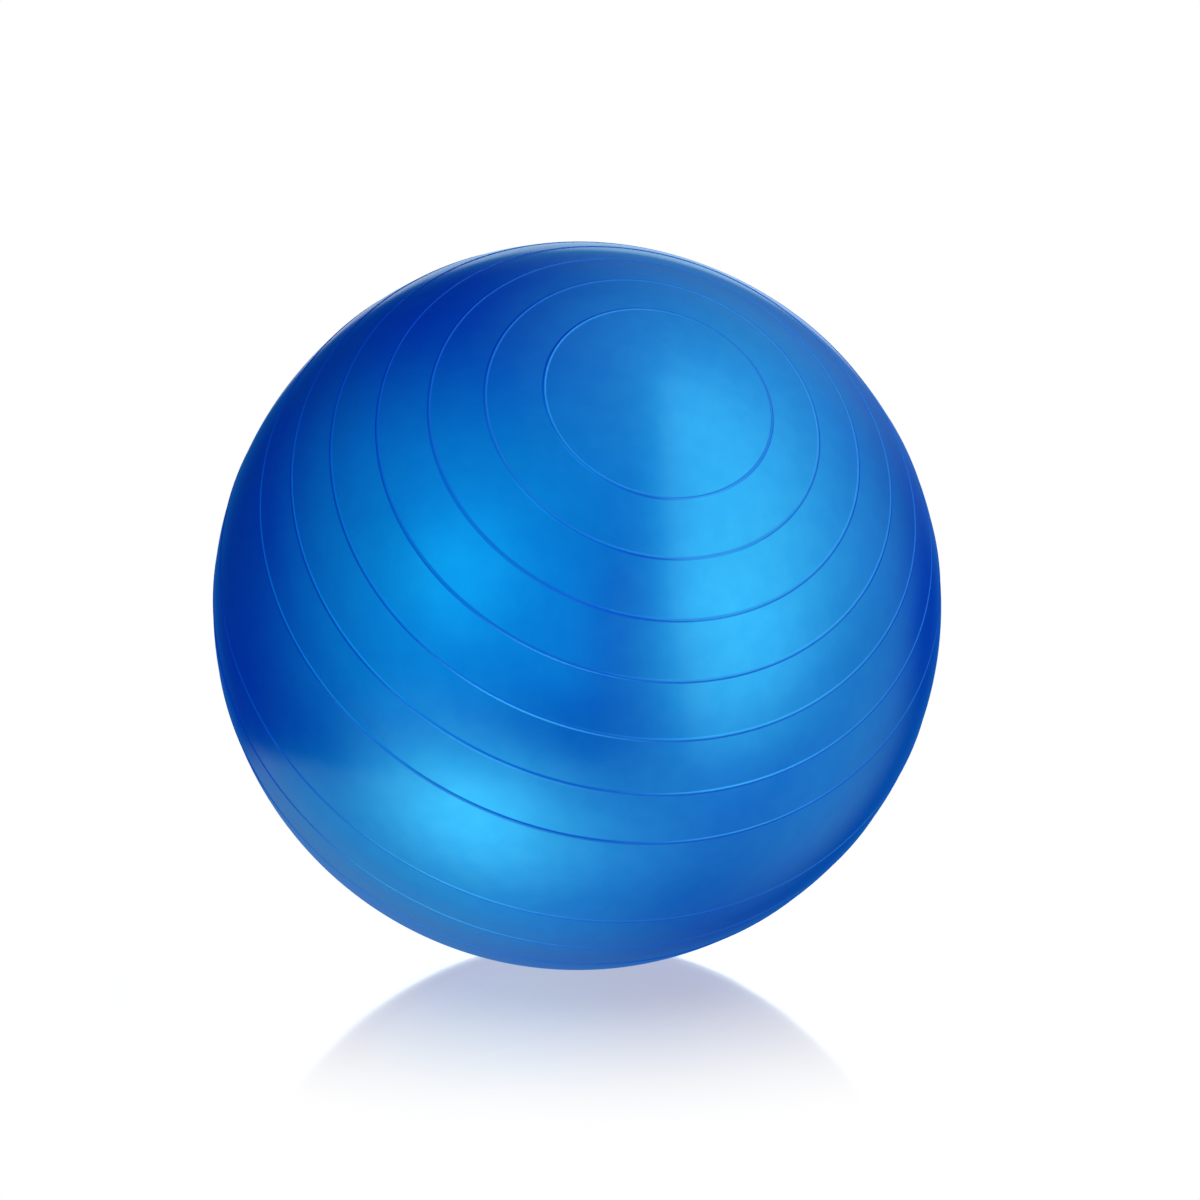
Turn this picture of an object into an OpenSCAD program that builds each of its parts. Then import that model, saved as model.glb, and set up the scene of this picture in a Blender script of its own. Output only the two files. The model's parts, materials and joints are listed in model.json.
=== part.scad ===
// Inflatable exercise ball: a hollow moulded PVC skin with raised grip ribs,
// a valve seat fused into the skin at one pole, and a push-in stopper.
// Millimetres, +Z up. The origin is the centre of the flat patch that rests on the floor.

/* [Ball] */
// Outside diameter of the inflated skin, without its ribs
ball_d = 650; // [450:10:850]
// Thickness of the inflated skin
wall_t = 0.9; // [0.6:0.1:2]
// Diameter of the flat patch that the ball's own weight presses on the floor
contact_d = 70; // [40:2:90]

/* [Rib axis] */
// Lean of the rib axis away from straight up
rib_tilt = 56; // [20:1:90]
// Turn of the rib axis about the upright, counted from -Y towards +X
rib_turn = 14; // [-180:1:180]

/* [Ribs] */
// Width of a rib's round bead
rib_w = 2.2; // [1.4:0.1:3]
// Height of a rib above the skin
rib_h = 0.9; // [0.4:0.1:1]
// Number of ribs around each pole
cap_ribs = 7; // [1:1:8]
// Angle from the pole to the first of its ribs
cap_rib_start = 16; // [10:1:20]
// Angle from one of those ribs to the next
cap_rib_step = 8; // [5:0.5:8]
// Number of ribs in the belt around the middle
belt_ribs = 3; // [1:1:3]
// Angle from one belt rib to the next
belt_rib_step = 9; // [5:0.5:9]

/* [Valve seat] */
// Diameter of the stopper's hole
bore_d = 9.5; // [9:0.5:11]
// Outside diameter of the neck that hangs into the ball
neck_d = 16; // [14:0.5:18]
// Length of the neck below the flange
neck_len = 12; // [11:1:20]
// Diameter of the recess for the stopper's head
recess_d = 24; // [22:1:28]
// Depth of that recess below the skin
recess_depth = 3.2; // [3:0.1:4]
// Outside diameter of the seat's flange
flange_d = 34; // [32:1:40]
// Thickness of the flange under the recess
flange_floor_t = 2; // [1.5:0.1:3]

/* [Stopper] */
// Diameter of the stopper's head
head_d = 19; // [17:0.5:20]
// Height of the dome on the head
dome_h = 0.9; // [0.5:0.1:1]
// Length of the shank below the head
shank_len = 18; // [17:1:24]
// Gap all round between the shank and its hole
shank_gap = 0.75; // [0.5:0.05:1]
// Number of sealing beads
seal_beads = 3; // [1:1:3]
// Distance from one sealing bead to the next
seal_pitch = 3.6; // [2.5:0.1:3.6]
// Gap all round between a sealing bead and the hole
seal_gap = 0.05; // [0.02:0.01:0.1]
// Diameter of the blind hole up the middle of the shank
core_d = 3; // [2:0.5:4]

/* [Hidden] */

skin_blue = [0.09, 0.43, 0.82];
plug_white = [0.93, 0.93, 0.91];

// Facets round the ball, and round the small parts
ball_fn = 240;
small_fn = 96;
bead_fn = 24;
// How far a cutting shape runs past what it cuts
past = 1;

ball_r = ball_d / 2;
contact_r = contact_d / 2;
centre_z = sqrt(ball_r * ball_r - contact_r * contact_r);

// A rib's bead is a ring of round section, partly sunk in the skin
bead_r = rib_w / 2;
bead_centre_r = ball_r + rib_h - bead_r;
cap_angles = [for (i = [0 : cap_ribs - 1]) cap_rib_start + cap_rib_step * i];
belt_angles = [for (i = [0 : belt_ribs - 1]) 90 + belt_rib_step * (i - (belt_ribs - 1) / 2)];
far_cap_angles = [for (a = cap_angles) 180 - a];
rib_angles = concat(cap_angles, belt_angles, far_cap_angles);

// The floor squashes the ribs flush out to the circle where their tops reach it
squash_r = sqrt(pow(ball_r + rib_h, 2) - centre_z * centre_z) + 0.5;
squash_h = 4 * rib_h;

// The skin thickens inwards into a tapered boss, which grips the seat's flange and its tongue
flange_t = recess_depth + flange_floor_t;
boss_wall = 4;
boss_depth = flange_t - 0.8;
tongue_w = 1.6;
tongue_t = 1;
tongue_z = -flange_t / 2 - tongue_t / 2;

// The stopper's head is bevelled underneath, so that a puller can get under its rim
head_gap = 0.2;
bevel_w = 0.8;
rim_t = 0.8;
head_base_z = head_gap - recess_depth;
rim_top_z = head_base_z + bevel_w + rim_t;
dome_r = (head_d * head_d / 4 + dome_h * dome_h) / (2 * dome_h);
shank_d = bore_d - 2 * shank_gap;
seal_bead_r = 0.9;
seal_ring_r = bore_d / 2 - seal_gap - seal_bead_r;
first_seal = 3.4;
tip_len = 3.5;
tip_d = 5.6;
core_depth = shank_len - 4;

// +Z runs along the rib axis, from the ball's centre
module in_rib_frame() {
    translate([0, 0, centre_z]) rotate([rib_tilt, 0, rib_turn]) children();
}

// +Z runs out through the valve, and z = 0 is level with the skin there
module in_valve_frame() {
    in_rib_frame() rotate([180, 0, 0]) translate([0, 0, ball_r]) children();
}

// A ring of round section about the Z axis
module bead_ring(ring_r, section_r, around_fn) {
    rotate_extrude($fn = around_fn)
        translate([ring_r, 0]) circle(r = section_r, $fn = bead_fn);
}

module full_ball(r) {
    in_rib_frame() sphere(r = r, $fn = ball_fn);
}

// One grip rib, at an angle from the pole
module rib(angle) {
    in_rib_frame()
        translate([0, 0, bead_centre_r * cos(angle)])
            bead_ring(bead_centre_r * sin(angle), bead_r, ball_fn);
}

// All the grip ribs, but for the stretches that the floor squashes flat
module ribs() {
    difference() {
        union() {
            for (a = rib_angles) rib(a);
        }
        translate([0, 0, -past]) cylinder(r = squash_r, h = squash_h + past, $fn = small_fn);
    }
}

// Everything lower than a level
module below(level) {
    translate([-ball_d, -ball_d, level - ball_d]) cube([2 * ball_d, 2 * ball_d, ball_d]);
}

// The tapered thickening of the skin around the valve
module boss() {
    in_valve_frame() translate([0, 0, -boss_depth])
        cylinder(
            d1 = flange_d + 2 * boss_wall,
            d2 = flange_d + 2 * boss_wall + 2 * boss_depth,
            h = boss_depth + past,
            $fn = small_fn
        );
}

// The air inside the ball, flat over the floor patch and clear of the boss
module air_space() {
    difference() {
        full_ball(ball_r - wall_t);
        below(wall_t);
        boss();
    }
}

// The outside of the seat where the skin grips it
module seat_blank() {
    intersection() {
        full_ball(ball_r);
        in_valve_frame() translate([0, 0, -flange_t])
            cylinder(d = flange_d, h = flange_t + past, $fn = small_fn);
    }
    in_valve_frame() translate([0, 0, tongue_z])
        cylinder(d = flange_d + 2 * tongue_w, h = tongue_t, $fn = small_fn);
}

module ball_shell() {
    color(skin_blue)
    difference() {
        union() {
            full_ball(ball_r);
            ribs();
        }
        below(0);
        air_space();
        seat_blank();
    }
}

module valve_seat() {
    color(skin_blue)
    difference() {
        union() {
            seat_blank();
            in_valve_frame() translate([0, 0, -flange_t - neck_len])
                cylinder(d = neck_d, h = neck_len + flange_floor_t, $fn = small_fn);
        }
        in_valve_frame() translate([0, 0, -recess_depth])
            cylinder(d = recess_d, h = recess_depth + past, $fn = small_fn);
        in_valve_frame() translate([0, 0, -flange_t - neck_len - past])
            cylinder(d = bore_d, h = flange_t + neck_len + 2 * past, $fn = small_fn);
    }
}

// Domed disc with a bevel under its rim
module plug_head() {
    translate([0, 0, head_base_z])
        cylinder(d1 = head_d - 2 * bevel_w, d2 = head_d, h = bevel_w, $fn = small_fn);
    intersection() {
        translate([0, 0, head_base_z + bevel_w])
            cylinder(d = head_d, h = rim_t + dome_h + past, $fn = small_fn);
        translate([0, 0, rim_top_z + dome_h - dome_r]) sphere(r = dome_r, $fn = ball_fn);
    }
}

// Shank with a tapered tip and a row of sealing beads
module plug_shank() {
    translate([0, 0, head_base_z - shank_len + tip_len])
        cylinder(d = shank_d, h = shank_len - tip_len + bevel_w, $fn = small_fn);
    translate([0, 0, head_base_z - shank_len])
        cylinder(d1 = tip_d, d2 = shank_d, h = tip_len, $fn = small_fn);
    for (i = [0 : seal_beads - 1])
        translate([0, 0, head_base_z - first_seal - i * seal_pitch])
            bead_ring(seal_ring_r, seal_bead_r, small_fn);
}

module valve_plug() {
    color(plug_white)
    in_valve_frame()
    difference() {
        union() {
            plug_head();
            plug_shank();
        }
        translate([0, 0, head_base_z - shank_len - past])
            cylinder(d = core_d, h = core_depth + past, $fn = small_fn);
    }
}

ball_shell();
valve_seat();
valve_plug();
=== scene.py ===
import json
from math import acos, asin, atan2, cos, hypot, pi, radians, sin, sqrt, tan

import bpy
from mathutils import Matrix, Vector


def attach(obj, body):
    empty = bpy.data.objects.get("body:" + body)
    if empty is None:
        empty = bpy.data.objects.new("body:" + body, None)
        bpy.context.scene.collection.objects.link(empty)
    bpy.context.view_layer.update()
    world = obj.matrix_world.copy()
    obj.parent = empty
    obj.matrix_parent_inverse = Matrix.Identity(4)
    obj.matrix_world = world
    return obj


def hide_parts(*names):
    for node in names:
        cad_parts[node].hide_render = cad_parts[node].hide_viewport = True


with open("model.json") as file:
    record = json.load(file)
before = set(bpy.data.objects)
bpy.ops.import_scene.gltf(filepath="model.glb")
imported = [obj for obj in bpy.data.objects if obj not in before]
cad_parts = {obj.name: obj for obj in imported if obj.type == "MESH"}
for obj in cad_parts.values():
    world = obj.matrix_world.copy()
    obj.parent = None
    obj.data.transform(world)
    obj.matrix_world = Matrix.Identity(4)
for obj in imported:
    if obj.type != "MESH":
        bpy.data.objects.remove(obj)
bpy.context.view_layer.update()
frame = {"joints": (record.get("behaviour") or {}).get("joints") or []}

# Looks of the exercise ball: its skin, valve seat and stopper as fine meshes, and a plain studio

MM = 0.001

# ---------------------------------------------------------------- sizes, in metres and radians

BALL_R = 325 * MM
WALL = 0.9 * MM
CONTACT_R = 35 * MM
CENTRE_Z = sqrt(BALL_R**2 - CONTACT_R**2)
# Over this height the skin eases from the flat floor patch into the sphere
PATCH_EASE = 0.6 * MM

# The ribs are soft-edged ridges of the same moulding
RIB_W = 3.6 * MM
RIB_H = 0.5 * MM
RIB_STEPS = 12
# Between two ribs the outline has a point about this often, and never fewer steps than this
PLAIN_STEP = radians(1.35)
PLAIN_STEPS_MIN = 5
CAP_STEP = radians(8)
BELT_STEP = radians(9)
CAP_RIBS = [radians(16) + CAP_STEP * i for i in range(7)]
BELT_RIBS = [pi / 2 + BELT_STEP * i for i in (-1, 0, 1)]
RIBS = CAP_RIBS + BELT_RIBS + [pi - a for a in reversed(CAP_RIBS)]
# The air bulges the skin this much between two ribs, which hold it in
PUFF = 0.12 * MM

AROUND = 216
INSIDE_RINGS = 76
SMALL_AROUND = 96
FILLET_STEPS = 5

# The valve, whose outline is drawn with z = 0 level with the skin
BORE_R = 4.75 * MM
NECK_R = 8.0 * MM
NECK_LEN = 12.0 * MM
RECESS_R = 12.0 * MM
RECESS_DEPTH = 3.2 * MM
FLANGE_R = 17.0 * MM
FLANGE_T = 5.2 * MM
TONGUE_R = 18.6 * MM
TONGUE_TOP = -2.1 * MM
TONGUE_BASE = -3.1 * MM
BOSS_R = 21.0 * MM
BOSS_BASE = -4.4 * MM
# How far the plain skin runs up to the rim's fillets, outside and inside
RIM_LEAD = 0.6 * MM
BOSS_LEAD = 2.5 * MM

# The stopper
HEAD_R = 9.5 * MM
HEAD_BASE = -3.0 * MM
BEVEL = 0.8 * MM
RIM_TOP = -1.4 * MM
DOME_H = 0.9 * MM
GATE_R = 1.3 * MM
GATE_DEPTH = 0.25 * MM
SHANK_R = 4.0 * MM
SHANK_LEN = 18.0 * MM
SEAL_RING_R = 3.8 * MM
SEAL_R = 0.9 * MM
FIRST_SEAL = 3.4 * MM
SEAL_STEP = 3.6 * MM
SEALS = [HEAD_BASE - FIRST_SEAL - SEAL_STEP * i for i in range(3)]
TIP_LEN = 3.5 * MM
TIP_R = 2.8 * MM
CORE_R = 1.5 * MM
CORE_DEPTH = 14.0 * MM
CURVE_STEPS = 10

# ---------------------------------------------------------------- places, from the frame

joint = next(j for j in frame["joints"] if j["name"] == "plug_pull")
valve_out = Vector(joint["axis"]).normalized()
rib_axis = -valve_out
BALL_CENTRE = Vector((0, 0, CENTRE_Z))


def axis_frame(origin, z_axis):
    """The matrix that puts an outline's own Z axis along z_axis, from origin."""
    return Matrix.Translation(origin) @ z_axis.to_track_quat("Z", "Y").to_matrix().to_4x4()


RIB_FRAME = axis_frame(BALL_CENTRE, rib_axis)
VALVE_FRAME = axis_frame(BALL_CENTRE + valve_out * BALL_R, valve_out)

# ---------------------------------------------------------------- outlines and turned meshes


def skin_z(r, depth=0.0):
    """Level of the skin, or of a face some way under it, at a distance from the valve's axis."""
    return sqrt((BALL_R - depth) ** 2 - r * r) - BALL_R


def rounded(corners):
    """Points along an outline whose corners (r, z, fillet) are rounded where a fillet is given."""
    points = []
    for i, (r, z, fillet) in enumerate(corners):
        here = Vector((r, z))
        if not fillet:
            points.append(here)
            continue
        back = (Vector(corners[i - 1][:2]) - here).normalized()
        ahead = (Vector(corners[(i + 1) % len(corners)][:2]) - here).normalized()
        half = acos(max(-1, min(1, back.dot(ahead)))) / 2
        start, end = here + back * fillet / tan(half), here + ahead * fillet / tan(half)
        centre = here + (back + ahead).normalized() * fillet / sin(half)
        for k in range(FILLET_STEPS + 1):
            spoke = (start - centre).slerp(end - centre, k / FILLET_STEPS)
            points.append(centre + spoke.normalized() * fillet)
    return points


def arc(centre_r, centre_z, radius, start, end, steps):
    """Points of a circular arc in an outline, as corners without a fillet."""
    angles = [start + (end - start) * k / steps for k in range(steps + 1)]
    return [(centre_r + radius * cos(a), centre_z + radius * sin(a), 0) for a in angles]


def outline_normals(points, closed):
    """Normals of an outline that runs with its solid on the right, led by the longer neighbour."""
    normals = []
    for i, p in enumerate(points):
        before = points[i - 1] if closed or i else None
        after = points[(i + 1) % len(points)] if closed or i + 1 < len(points) else None
        along = Vector((0, 0))
        for a, b in ((before, p), (p, after)):
            if a is not None and b is not None:
                along += (b - a) * (b - a).length
        normals.append(Vector((-along.y, along.x)).normalized())
    return normals


def turned(name, points, normals, place, around, closed=False, reshape=None):
    """A smooth closed mesh of revolution. points are (r, z) in place's frame."""
    to_world, turn = place, place.to_3x3()
    verts, vert_normals, rows = [], [], []
    for p, n in zip(points, normals):
        if p.x < 1e-9:
            count, n = 1, Vector((0, 1 if n.y > 0 else -1))
        else:
            count = around
        rows.append(list(range(len(verts), len(verts) + count)))
        for k in range(count):
            a = 2 * pi * k / around
            point = to_world @ Vector((p.x * cos(a), p.x * sin(a), p.y))
            normal = turn @ Vector((n.x * cos(a), n.x * sin(a), n.y))
            if reshape:
                point, normal = reshape(point, normal)
            verts.append(point)
            vert_normals.append(normal.normalized())
    pairs = list(zip(rows, rows[1:] + rows[:1])) if closed else list(zip(rows, rows[1:]))
    faces = []
    for upper, lower in pairs:
        for k in range(around):
            ring = [
                upper[k % len(upper)],
                lower[k % len(lower)],
                lower[(k + 1) % len(lower)],
                upper[(k + 1) % len(upper)],
            ]
            faces.append([v for i, v in enumerate(ring) if v != ring[i - 1]])
    mesh = bpy.data.meshes.new(name)
    mesh.from_pydata(verts, [], faces)
    mesh.shade_smooth()
    mesh.normals_split_custom_set_from_vertices(vert_normals)
    piece = bpy.data.objects.new(name, mesh)
    bpy.context.scene.collection.objects.link(piece)
    return piece


# ---------------------------------------------------------------- the skin


def ridge(distance):
    """Height and slope of a rib's soft ridge, at a distance from its crest."""
    if abs(distance) >= RIB_W / 2:
        return 0.0, 0.0
    turn = pi * distance / RIB_W
    return RIB_H * cos(turn) ** 2, -RIB_H * pi / RIB_W * sin(2 * turn)


def bulge(angle):
    """Height and slope per radian of the air's bulge between the two ribs beside an angle."""
    edges = [0.0] + RIBS + [pi]
    low = max(e for e in edges if e <= angle)
    high = min(e for e in edges if e >= angle)
    if high - low < 1e-9 or low == 0.0 or high == pi:
        return 0.0, 0.0
    gap = high - low
    turn = pi * (angle - low) / gap
    return PUFF * sin(turn) ** 2, PUFF * pi / gap * sin(2 * turn)


def skin_angles():
    """Angles from the pole at which the skin's outline has a point, close together on the ribs."""
    valve_edge = pi - asin((FLANGE_R + RIM_LEAD) / BALL_R)
    half = RIB_W / 2 / BALL_R
    stops = [0.0] + [e for a in RIBS for e in (a - half, a + half)] + [valve_edge]
    angles = []
    for i, (low, high) in enumerate(zip(stops, stops[1:])):
        on_rib = i % 2 == 1
        steps = RIB_STEPS if on_rib else max(PLAIN_STEPS_MIN, round((high - low) / PLAIN_STEP))
        angles += [low + (high - low) * k / steps for k in range(steps)]
    return angles + [valve_edge]


def skin_point(angle):
    """Outline point and normal of the skin's outside, in the rib frame."""
    nearest = min(RIBS, key=lambda a: abs(a - angle))
    rib_h, rib_slope = ridge((angle - nearest) * BALL_R)
    bulge_h, bulge_slope = bulge(angle)
    out, along = Vector((sin(angle), cos(angle))), Vector((cos(angle), -sin(angle)))
    height = BALL_R + rib_h + bulge_h
    slope = rib_slope * BALL_R + bulge_slope
    return out * height, (out * height - along * slope).normalized()


def press(point, normal):
    """The floor's push on a point of the outside: nothing goes below z = 0."""
    z = point.z
    root = hypot(z, PATCH_EASE)
    flatten = (1 + z / root) / 2
    return (
        Vector((point.x, point.y, (z + root) / 2)),
        Vector((normal.x * flatten, normal.y * flatten, normal.z)),
    )


def press_either_face(point, normal):
    """As press, but the inside of the skin stops one wall's thickness above the floor."""
    from_centre = (point - BALL_CENTRE).length
    lift = WALL if from_centre < BALL_R - WALL / 2 else 0.0
    point.z -= lift
    point, normal = press(point, normal)
    point.z += lift
    return point, normal


def rim_points():
    """Outline of the hole that grips the seat, and of the boss round it, in the valve's frame."""
    flare_r = BOSS_R + skin_z(BOSS_R, WALL) - BOSS_BASE
    lead_in, lead_out = FLANGE_R + RIM_LEAD, flare_r + BOSS_LEAD
    corners = [
        (lead_in, skin_z(lead_in), 0),
        (FLANGE_R, skin_z(FLANGE_R), 0.3 * MM),
        (FLANGE_R, TONGUE_TOP, 0.1 * MM),
        (TONGUE_R, TONGUE_TOP, 0.2 * MM),
        (TONGUE_R, TONGUE_BASE, 0.2 * MM),
        (FLANGE_R, TONGUE_BASE, 0.1 * MM),
        (FLANGE_R, BOSS_BASE, 0.4 * MM),
        (BOSS_R, BOSS_BASE, 0.8 * MM),
        (flare_r, skin_z(flare_r, WALL), 1.5 * MM),
        (lead_out, skin_z(lead_out, WALL), 0),
    ]
    return rounded(corners)[1:]


def make_skin():
    outside = [skin_point(a) for a in skin_angles()]
    rim = [Vector((p.x, -BALL_R - p.y)) for p in rim_points()]
    inner_r = BALL_R - WALL
    start = atan2(rim[-1].x, rim[-1].y)
    turns = [start * (1 - k / INSIDE_RINGS) for k in range(1, INSIDE_RINGS + 1)]
    inside = [Vector((inner_r * sin(a), inner_r * cos(a))) for a in turns]
    points = [p for p, _ in outside] + rim + inside
    normals = outline_normals(points, closed=False)
    for i, (_, n) in enumerate(outside):
        normals[i] = n
    return turned("inflated_skin", points, normals, RIB_FRAME, AROUND, reshape=press_either_face)


# ---------------------------------------------------------------- the valve


def make_seat():
    corners = [
        (FLANGE_R, skin_z(FLANGE_R), 0.3 * MM),
        (FLANGE_R, TONGUE_TOP, 0.1 * MM),
        (TONGUE_R, TONGUE_TOP, 0.2 * MM),
        (TONGUE_R, TONGUE_BASE, 0.2 * MM),
        (FLANGE_R, TONGUE_BASE, 0.1 * MM),
        (FLANGE_R, -FLANGE_T, 0.5 * MM),
        (NECK_R, -FLANGE_T, 1.2 * MM),
        (NECK_R, -FLANGE_T - NECK_LEN, 0.9 * MM),
        (BORE_R, -FLANGE_T - NECK_LEN, 0.5 * MM),
        (BORE_R, -RECESS_DEPTH, 0.5 * MM),
        (RECESS_R, -RECESS_DEPTH, 0.6 * MM),
        (RECESS_R, skin_z(RECESS_R), 0.7 * MM),
    ]
    points = rounded(corners)
    normals = outline_normals(points, closed=True)
    return turned("valve_seat_ring", points, normals, VALVE_FRAME, SMALL_AROUND, closed=True)


def make_plug():
    dome_r = (HEAD_R**2 + DOME_H**2) / (2 * DOME_H)
    dome_z = RIM_TOP + DOME_H - dome_r
    gate_edge = asin((GATE_R + 0.4 * MM) / dome_r)
    rim_edge = asin((HEAD_R - 0.5 * MM) / dome_r)
    gate_z = RIM_TOP + DOME_H - GATE_DEPTH
    core_top = HEAD_BASE - SHANK_LEN + CORE_DEPTH
    seal_half = acos((SHANK_R - SEAL_RING_R) / SEAL_R)
    corners = [(0, gate_z, 0), (GATE_R - 0.3 * MM, gate_z, 0.3 * MM)]
    corners += arc(0, dome_z, dome_r, pi / 2 - gate_edge, pi / 2 - rim_edge, CURVE_STEPS)
    corners += [
        (HEAD_R, RIM_TOP, 0.3 * MM),
        (HEAD_R, HEAD_BASE + BEVEL, 0.2 * MM),
        (HEAD_R - BEVEL, HEAD_BASE, 0.2 * MM),
        (SHANK_R, HEAD_BASE, 0.3 * MM),
    ]
    for z in SEALS:
        corners += arc(SEAL_RING_R, z, SEAL_R, seal_half, -seal_half, CURVE_STEPS)
    corners += [
        (SHANK_R, HEAD_BASE - SHANK_LEN + TIP_LEN, 1.0 * MM),
        (TIP_R, HEAD_BASE - SHANK_LEN, 0.5 * MM),
        (CORE_R, HEAD_BASE - SHANK_LEN, 0.3 * MM),
        (CORE_R, core_top, 0.4 * MM),
        (0, core_top, 0),
    ]
    points = rounded(corners)
    normals = outline_normals(points, closed=False)
    return turned("stopper", points, normals, VALVE_FRAME, SMALL_AROUND)


# ---------------------------------------------------------------- node helpers


def add(tree, kind, **inputs):
    """A node of that kind, with inputs named by words or numbered as i0, i1 and so on."""
    node = tree.nodes.new("ShaderNode" + kind)
    for key, value in inputs.items():
        numbered = key[0] == "i" and key[1:].isdigit()
        socket = node.inputs[int(key[1:]) if numbered else key.replace("_", " ")]
        if isinstance(value, bpy.types.NodeSocket):
            tree.links.new(value, socket)
        else:
            socket.default_value = value
    return node


def calc(tree, operation, a, b=0.0, clamp=False):
    node = add(tree, "Math", i0=a, i1=b)
    node.operation = operation
    node.use_clamp = clamp
    return node.outputs[0]


def ramp(tree, value, start, end, low=0.0, high=1.0):
    """Eases from low to high as value goes from start to end."""
    node = add(tree, "MapRange", Value=value, From_Min=start, From_Max=end, To_Min=low, To_Max=high)
    node.interpolation_type = "SMOOTHSTEP"
    return node.outputs[0]


def blended(tree, factor, a, b):
    """A mix of two colours."""
    node = tree.nodes.new("ShaderNodeMix")
    node.data_type = "RGBA"
    for i, value in ((0, factor), (6, a), (7, b)):
        if isinstance(value, bpy.types.NodeSocket):
            tree.links.new(value, node.inputs[i])
        else:
            node.inputs[i].default_value = value
    return node.outputs[2]


def new_material(name):
    material = bpy.data.materials.new(name)
    material.use_nodes = True
    material.node_tree.nodes.clear()
    return material, material.node_tree


def show(tree, shader):
    tree.links.new(shader, add(tree, "OutputMaterial").inputs[0])


def speckle(tree, where, scale, detail=2.0):
    return add(tree, "TexNoise", Vector=where, Scale=scale, Detail=detail).outputs[0]


def object_place(tree):
    return add(tree, "TexCoord").outputs["Object"]


# ---------------------------------------------------------------- materials

DEEP_BLUE = (0.001, 0.012, 0.95, 1)
DEEP_BLUE_2 = (0.001, 0.008, 0.85, 1)
PEARL = (0.03, 0.82, 0.99, 1)
PEARL_2 = (0.02, 0.77, 0.96, 1)
PEARL_EDGE = (0.03, 0.7, 0.5, 1)
PLASTIC = (0.88, 0.88, 0.85, 1)
PLASTIC_2 = (0.80, 0.80, 0.77, 1)

# How much of the surface is flakes. The ribs have fewer, which is a choice: it turns them
# into the thin dark lines that the photograph shows on its right half
FLAKE_SHARE = 0.45
RIB_FLAKE_SHARE = 0.32


def pvc_bump(tree, where):
    """The fine grain of moulded PVC, with long shallow ripples under it."""
    grain = speckle(tree, where, 900, 3)
    ripple = speckle(tree, where, 9, 1)
    fine = add(tree, "Bump", Strength=0.12, Distance=0.05 * MM, Height=grain)
    wide = add(tree, "Bump", Strength=0.25, Distance=0.6 * MM, Height=ripple)
    tree.links.new(wide.outputs[0], fine.inputs["Normal"])
    return fine.outputs[0]


def on_ribs(tree, where):
    """1 on the crests of the ribs, easing to 0 at their feet."""
    arm = add(tree, "VectorMath", i0=where, i1=BALL_CENTRE)
    arm.operation = "SUBTRACT"
    unit = add(tree, "VectorMath", i0=arm.outputs["Vector"])
    unit.operation = "NORMALIZE"
    along = add(tree, "VectorMath", i0=unit.outputs["Vector"], i1=rib_axis)
    along.operation = "DOT_PRODUCT"
    from_pole = calc(tree, "ARCCOSINE", calc(tree, "ABSOLUTE", along.outputs["Value"]))

    def off_row(past_first, step, count):
        """Angle to the nearest rib of a row, or over 1 where the row doesn't reach."""
        from_middle = calc(tree, "ABSOLUTE", calc(tree, "SUBTRACT", past_first, step * (count - 1) / 2))
        beyond = calc(tree, "GREATER_THAN", from_middle, step * count / 2)
        return calc(tree, "ADD", calc(tree, "PINGPONG", past_first, step / 2), beyond)

    cap = off_row(calc(tree, "SUBTRACT", from_pole, CAP_RIBS[0]), CAP_STEP, len(CAP_RIBS))
    # The two halves of the ball fold into one, which has the belt's middle rib and those on one side
    folded = (len(BELT_RIBS) + 1) // 2
    belt = off_row(calc(tree, "SUBTRACT", pi / 2, from_pole), BELT_STEP, folded)
    return ramp(tree, calc(tree, "MINIMUM", cap, belt), RIB_W / 2 / BALL_R, RIB_W / 6 / BALL_R)


def pearl_pvc(name, roughness, ribbed=False):
    """Glossy PVC: flakes that mirror in sky blue, in a deep blue body, under a clear coat."""
    material, tree = new_material(name)
    where = object_place(tree)
    cloud = ramp(tree, speckle(tree, where, 7, 4), 0.35, 0.65)
    flake = ramp(tree, speckle(tree, where, 60, 3), 0.3, 0.7)
    bump = pvc_bump(tree, where)
    coat = dict(Coat_Weight=0.4, Coat_Roughness=0.1, Coat_IOR=1.5, Coat_Normal=bump, Normal=bump)
    body = add(
        tree,
        "BsdfPrincipled",
        Base_Color=blended(tree, cloud, DEEP_BLUE, DEEP_BLUE_2),
        Roughness=ramp(tree, cloud, 0, 1, roughness, roughness + 0.05),
        **coat,
    )
    body.inputs["Specular IOR Level"].default_value = 0.0
    flakes = add(
        tree,
        "BsdfPrincipled",
        Base_Color=blended(tree, flake, PEARL, PEARL_2),
        Metallic=1.0,
        Roughness=ramp(tree, cloud, 0, 1, roughness - 0.02, roughness + 0.03),
        Specular_Tint=PEARL_EDGE,
        **coat,
    )
    share = FLAKE_SHARE
    if ribbed:
        share = ramp(tree, on_ribs(tree, where), 0, 1, FLAKE_SHARE, RIB_FLAKE_SHARE)
    mix = add(tree, "MixShader", i0=share, i1=body.outputs[0], i2=flakes.outputs[0])
    show(tree, mix.outputs[0])
    return material


def stopper_plastic():
    """Soft white moulded plastic with a fine sparked grain."""
    material, tree = new_material("stopper_plastic")
    where = object_place(tree)
    cloud = ramp(tree, speckle(tree, where, 160, 3), 0.3, 0.7)
    grain = add(
        tree, "Bump", Strength=0.2, Distance=0.05 * MM, Height=speckle(tree, where, 2500, 2)
    )
    plastic = add(
        tree,
        "BsdfPrincipled",
        Base_Color=blended(tree, cloud, PLASTIC, PLASTIC_2),
        Roughness=ramp(tree, cloud, 0, 1, 0.38, 0.48),
        Subsurface_Weight=0.15,
        Subsurface_Scale=1.0 * MM,
        Normal=grain.outputs[0],
    )
    show(tree, plastic.outputs[0])
    return material


# ---------------------------------------------------------------- the stage

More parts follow.
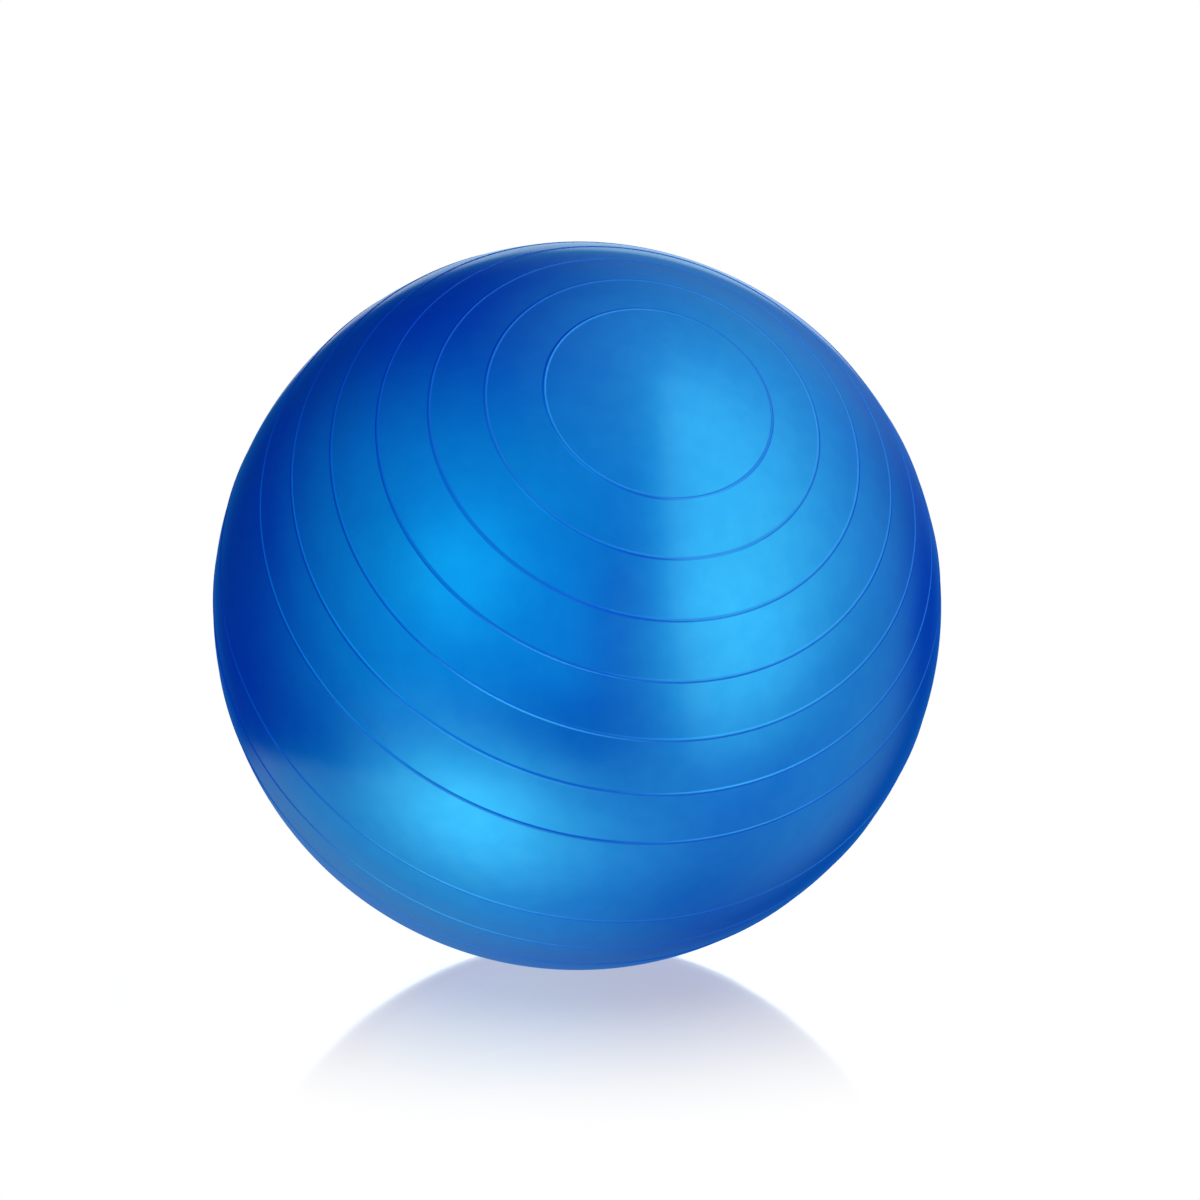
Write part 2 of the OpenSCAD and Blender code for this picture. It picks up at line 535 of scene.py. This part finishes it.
WHITE = (1, 1, 1, 1)
COOL = (0.1, 0.8, 1, 1)
BLUE = (0.03, 0.35, 1, 1)
FLOOR_R = 60.0
FLOOR_DROP = 0.1 * MM
# The contact shade reaches this far from the ball, and this is its darkest
SHADE_REACH = 0.1
SHADE_DARKEST = 0.9
# The mirror image is strongest up to the first distance from the contact, and gone at the second
MIRROR_FULL = 0.12
MIRROR_GONE = 0.46
MIRROR_SHARE = 0.5


def floor_material():
    """Evenly glowing white, with a soft contact shade and a faint mirror image of the ball."""
    material, tree = new_material("floor_white")
    nearness = add(tree, "AmbientOcclusion", Distance=SHADE_REACH)
    nearness.samples = 16
    shade = ramp(tree, nearness.outputs["AO"], 0.0, 0.7, SHADE_DARKEST, 1.0)
    glow = add(tree, "Emission", Color=WHITE, Strength=shade)
    mirror = add(tree, "BsdfGlossy", Color=WHITE, Roughness=0.08)
    reach = add(tree, "VectorMath", i0=add(tree, "NewGeometry").outputs["Position"])
    reach.operation = "LENGTH"
    amount = ramp(tree, reach.outputs["Value"], MIRROR_GONE, MIRROR_FULL, 0.0, MIRROR_SHARE)
    mix = add(tree, "MixShader", i0=amount, i1=glow.outputs[0], i2=mirror.outputs[0])
    show(tree, mix.outputs[0])
    return material


def make_floor():
    """A wide disc that only the camera sees, so that the ball is lit by the studio alone."""
    around = 128
    turns = [2 * pi * k / around for k in range(around)]
    rim = [(FLOOR_R * cos(a), FLOOR_R * sin(a), -FLOOR_DROP) for a in turns]
    mesh = bpy.data.meshes.new("floor")
    mesh.from_pydata(rim, [], [list(range(around))])
    mesh.materials.append(floor_material())
    floor = bpy.data.objects.new("floor", mesh)
    bpy.context.scene.collection.objects.link(floor)
    floor.visible_glossy = False
    floor.visible_diffuse = False
    floor.visible_shadow = False


def summed(tree, values):
    total = 0.0
    for value in values:
        total = calc(tree, "ADD", value, total)
    return total


def heading(lon, lat):
    """A direction, in degrees right of the camera's side and degrees up."""
    lon, lat = radians(lon), radians(lat)
    return (cos(lat) * sin(lon), -cos(lat) * cos(lon), sin(lat))


def studio_lights(tree, way):
    """Strengths of the white lights, of the cool lights and of the blue wall behind the ball.

    Most of the places, widths and strengths began as a least-squares fit of a shading model to
    the photograph's colours. They were rounded and partly reworked.
    """
    x, y, z = add(tree, "SeparateXYZ", Vector=way).outputs
    lon = calc(tree, "DEGREES", calc(tree, "ARCTAN2", x, calc(tree, "MULTIPLY", y, -1.0)))
    lat = calc(tree, "DEGREES", calc(tree, "ARCSINE", z))

    def off(lon_at, lat_at):
        """Degrees away from a heading."""
        dot = add(tree, "VectorMath", i0=way, i1=heading(lon_at, lat_at))
        dot.operation = "DOT_PRODUCT"
        return calc(tree, "DEGREES", calc(tree, "ARCCOSINE", dot.outputs["Value"]))

    def light(level, *edges):
        """One soft light. Each edge is a value, where the light starts and where it is full."""
        total = level
        for value, start, full in edges:
            total = calc(tree, "MULTIPLY", ramp(tree, value, start, full), total)
        return total

    key = light(0.75, (off(94, 5), 68, 64), (lon, 110, 43), (lat, -52, -16), (lat, 92, 58))
    hot_core = light(0.72, (off(46, -4), 52, 0))
    above_key = light(0.66, (off(90, 50), 70, 5))
    key_far_side = light(0.22, (off(103, -2), 30, 4))
    below_key = light(0.4, (off(112, -35), 36, 8))
    low_floor = light(0.5, (off(151, -71), 67, 63), (off(-95, -45), 85, 30))
    pool = light(1.2, (off(-50, -53), 42, 0))
    low_right = light(0.33, (off(45, -57), 38, 10))
    high_back = light(0.22, (off(160, 30), 36, 10))
    # Only there to keep the floor white on both sides of the mirror image
    floor_whitener = light(1.0, (off(180, 14), 19, 13))

    upper_fill = light(0.67, (lon, -143, -33), (lon, 44, -17), (lat, 8, 31), (lat, 92, 28))
    lower_fill = light(0.6, (lon, -117, -50), (lon, 11, -1), (lat, -35, -15), (lat, 25, 14))
    left_spot = light(0.6, (off(-36, 12), 25, 7))
    everywhere = 0.06

    # Only there so that the ball's back, which the photograph doesn't show, is blue and not teal
    wall = light(0.5, (off(180, -5), 45, 10))

    white = [
        key,
        hot_core,
        above_key,
        key_far_side,
        below_key,
        low_floor,
        pool,
        low_right,
        high_back,
        floor_whitener,
    ]
    cool = [upper_fill, lower_fill, left_spot, everywhere]
    return summed(tree, white), summed(tree, cool), wall


def make_world():
    """White to the camera. To everything else it is a dark studio with lights all round."""
    world = bpy.data.worlds.new("studio")
    bpy.context.scene.world = world
    world.use_nodes = True
    tree = world.node_tree
    tree.nodes.clear()
    way = add(tree, "TexCoord").outputs["Generated"]
    white, cool, blue = studio_lights(tree, way)
    softboxes = add(tree, "Background", Color=WHITE, Strength=white)
    fills = add(tree, "Background", Color=COOL, Strength=cool)
    wall = add(tree, "Background", Color=BLUE, Strength=blue)
    front = add(tree, "AddShader", i0=softboxes.outputs[0], i1=fills.outputs[0])
    room = add(tree, "AddShader", i0=front.outputs[0], i1=wall.outputs[0])
    backdrop = add(tree, "Background", Color=WHITE, Strength=1.0)
    seen = add(tree, "LightPath").outputs["Is Camera Ray"]
    mix = add(tree, "MixShader", i0=seen, i1=room.outputs[0], i2=backdrop.outputs[0])
    tree.links.new(mix.outputs[0], add(tree, "OutputWorld").inputs[0])


# ---------------------------------------------------------------- camera

CAMERA_DISTANCE = 5.0 * BALL_R
CAMERA_ELEVATION = radians(4)
CAMERA_LENS = 53.5
SENSOR_W = 36.0
# Puts the ball where the photograph has it, a little left of the middle and below it
SHIFT_X = 0.019
SHIFT_Y = 0.005


def make_camera():
    data = bpy.data.cameras.new("camera")
    data.sensor_width = SENSOR_W
    data.lens = CAMERA_LENS
    data.shift_x = SHIFT_X
    data.shift_y = SHIFT_Y
    camera = bpy.data.objects.new("camera", data)
    bpy.context.scene.collection.objects.link(camera)
    back = Vector((0, -cos(CAMERA_ELEVATION), sin(CAMERA_ELEVATION)))
    camera.location = BALL_CENTRE + back * CAMERA_DISTANCE
    camera.rotation_mode = "QUATERNION"
    camera.rotation_quaternion = (-back).to_track_quat("-Z", "Y")
    bpy.context.scene.camera = camera


# ---------------------------------------------------------------- putting it together

bpy.context.scene.view_settings.view_transform = "Standard"

skin = make_skin()
seat = make_seat()
plug = make_plug()
skin.data.materials.append(pearl_pvc("pearl_pvc_skin", 0.30, ribbed=True))
seat.data.materials.append(pearl_pvc("pearl_pvc_seat", 0.36))
plug.data.materials.append(stopper_plastic())

for piece, body, node, slot in (
    (skin, "ball", "ball_shell", "pvc_skin"),
    (seat, "ball", "valve_seat", "pvc_seat"),
    (plug, "plug", "valve_plug", "plug_plastic"),
):
    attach(piece, body)
    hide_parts(node)

make_floor()
make_world()
make_camera()
